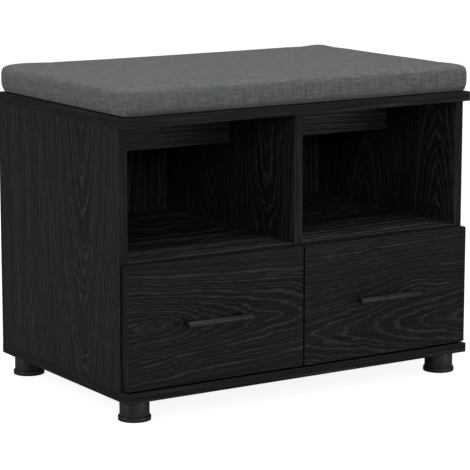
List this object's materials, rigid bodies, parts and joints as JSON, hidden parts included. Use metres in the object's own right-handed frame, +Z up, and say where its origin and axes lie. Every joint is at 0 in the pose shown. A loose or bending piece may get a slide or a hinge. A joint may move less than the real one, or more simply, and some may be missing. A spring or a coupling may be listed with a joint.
{
  "type": "entryway bench",
  "caption": "Storage bench in black oak laminate with open bays over pull-out drawers, bar handles, round plastic feet and a grey woven seat cushion.",
  "frame": {"origin": "on the floor, below the middle of the box around the whole bench, handles included", "axes": "+X to the right as the drawers are faced, +Y towards the back, +Z up"},
  "size_m": [0.63, 0.4214, 0.4963],
  "materials": {
    "black_oak": "black oak melamine laminate with an embossed satin grain",
    "drawer_box": "plain black melamine laminate, satin",
    "seat_fabric": "dark grey linen-look plain weave with slubs, matt",
    "handle_metal": "satin black powder coat",
    "foot_plastic": "black moulded plastic, satin",
    "screw_steel": "zinc-plated steel",
    "runner_steel": "dark grey epoxy-coated steel",
    "nylon": "natural nylon"
  },
  "bodies": {
    "cabinet": {"top_board": "black_oak", "bottom_board": "black_oak", "left_side_panel": "black_oak", "right_side_panel": "black_oak", "centre_divider": "black_oak", "back_panel": "black_oak", "left_shelf": "black_oak", "right_shelf": "black_oak", "left_seat_rail": "black_oak", "right_seat_rail": "black_oak", "seat_cushion": "seat_fabric", "front_left_foot": "foot_plastic", "front_left_foot_ring": "foot_plastic", "front_left_foot_screw": "screw_steel", "front_right_foot": "foot_plastic", "front_right_foot_ring": "foot_plastic", "front_right_foot_screw": "screw_steel", "back_left_foot": "foot_plastic", "back_left_foot_ring": "foot_plastic", "back_left_foot_screw": "screw_steel", "back_right_foot": "foot_plastic", "back_right_foot_ring": "foot_plastic", "back_right_foot_screw": "screw_steel", "left_bay_left_runner": "runner_steel", "left_bay_right_runner": "runner_steel", "right_bay_left_runner": "runner_steel", "right_bay_right_runner": "runner_steel"},
    "left_drawer": {"left_drawer_front": "black_oak", "left_drawer_left_side": "drawer_box", "left_drawer_right_side": "drawer_box", "left_drawer_back": "drawer_box", "left_drawer_bottom": "drawer_box", "left_drawer_handle": "handle_metal", "left_drawer_handle_screw_left": "screw_steel", "left_drawer_handle_screw_right": "screw_steel", "left_drawer_left_runner": "runner_steel", "left_drawer_right_runner": "runner_steel"},
    "right_drawer": {"right_drawer_front": "black_oak", "right_drawer_left_side": "drawer_box", "right_drawer_right_side": "drawer_box", "right_drawer_back": "drawer_box", "right_drawer_bottom": "drawer_box", "right_drawer_handle": "handle_metal", "right_drawer_handle_screw_left": "screw_steel", "right_drawer_handle_screw_right": "screw_steel", "right_drawer_left_runner": "runner_steel", "right_drawer_right_runner": "runner_steel"},
    "left_bay_left_wheel": {"left_bay_left_wheel": "nylon"},
    "left_drawer_left_wheel": {"left_drawer_left_wheel": "nylon"},
    "left_bay_right_wheel": {"left_bay_right_wheel": "nylon"},
    "left_drawer_right_wheel": {"left_drawer_right_wheel": "nylon"},
    "right_bay_left_wheel": {"right_bay_left_wheel": "nylon"},
    "right_drawer_left_wheel": {"right_drawer_left_wheel": "nylon"},
    "right_bay_right_wheel": {"right_bay_right_wheel": "nylon"},
    "right_drawer_right_wheel": {"right_drawer_right_wheel": "nylon"}
  },
  "joints": [
    {"name": "left_drawer_slide", "type": "slide", "parent": "cabinet", "child": "left_drawer", "axis": [0, -1, 0], "range_m": [0, 0.26]},
    {"name": "right_drawer_slide", "type": "slide", "parent": "cabinet", "child": "right_drawer", "axis": [0, -1, 0], "range_m": [0, 0.26]},
    {"name": "left_bay_left_wheel_spin", "type": "hinge", "parent": "cabinet", "child": "left_bay_left_wheel", "pos_m": [-0.2941, -0.15705, 0.061], "axis": [1, 0, 0], "continuous": true},
    {"name": "left_drawer_left_wheel_spin", "type": "hinge", "parent": "left_drawer", "child": "left_drawer_left_wheel", "pos_m": [-0.2941, 0.16575, 0.061], "axis": [1, 0, 0], "continuous": true},
    {"name": "left_bay_right_wheel_spin", "type": "hinge", "parent": "cabinet", "child": "left_bay_right_wheel", "pos_m": [-0.0134, -0.15705, 0.061], "axis": [1, 0, 0], "continuous": true},
    {"name": "left_drawer_right_wheel_spin", "type": "hinge", "parent": "left_drawer", "child": "left_drawer_right_wheel", "pos_m": [-0.0134, 0.16575, 0.061], "axis": [1, 0, 0], "continuous": true},
    {"name": "right_bay_left_wheel_spin", "type": "hinge", "parent": "cabinet", "child": "right_bay_left_wheel", "pos_m": [0.0134, -0.15705, 0.061], "axis": [1, 0, 0], "continuous": true},
    {"name": "right_drawer_left_wheel_spin", "type": "hinge", "parent": "right_drawer", "child": "right_drawer_left_wheel", "pos_m": [0.0134, 0.16575, 0.061], "axis": [1, 0, 0], "continuous": true},
    {"name": "right_bay_right_wheel_spin", "type": "hinge", "parent": "cabinet", "child": "right_bay_right_wheel", "pos_m": [0.2941, -0.15705, 0.061], "axis": [1, 0, 0], "continuous": true},
    {"name": "right_drawer_right_wheel_spin", "type": "hinge", "parent": "right_drawer", "child": "right_drawer_right_wheel", "pos_m": [0.2941, 0.16575, 0.061], "axis": [1, 0, 0], "continuous": true}
  ],
  "couplings": [
    {"joint": "left_bay_left_wheel_spin", "follows": "left_drawer_slide", "rad_per_m": 90.909},
    {"joint": "left_drawer_left_wheel_spin", "follows": "left_drawer_slide", "rad_per_m": 117.65},
    {"joint": "left_bay_right_wheel_spin", "follows": "left_drawer_slide", "rad_per_m": 90.909},
    {"joint": "left_drawer_right_wheel_spin", "follows": "left_drawer_slide", "rad_per_m": 117.65},
    {"joint": "right_bay_left_wheel_spin", "follows": "right_drawer_slide", "rad_per_m": 90.909},
    {"joint": "right_drawer_left_wheel_spin", "follows": "right_drawer_slide", "rad_per_m": 117.65},
    {"joint": "right_bay_right_wheel_spin", "follows": "right_drawer_slide", "rad_per_m": 90.909},
    {"joint": "right_drawer_right_wheel_spin", "follows": "right_drawer_slide", "rad_per_m": 117.65}
  ]
}
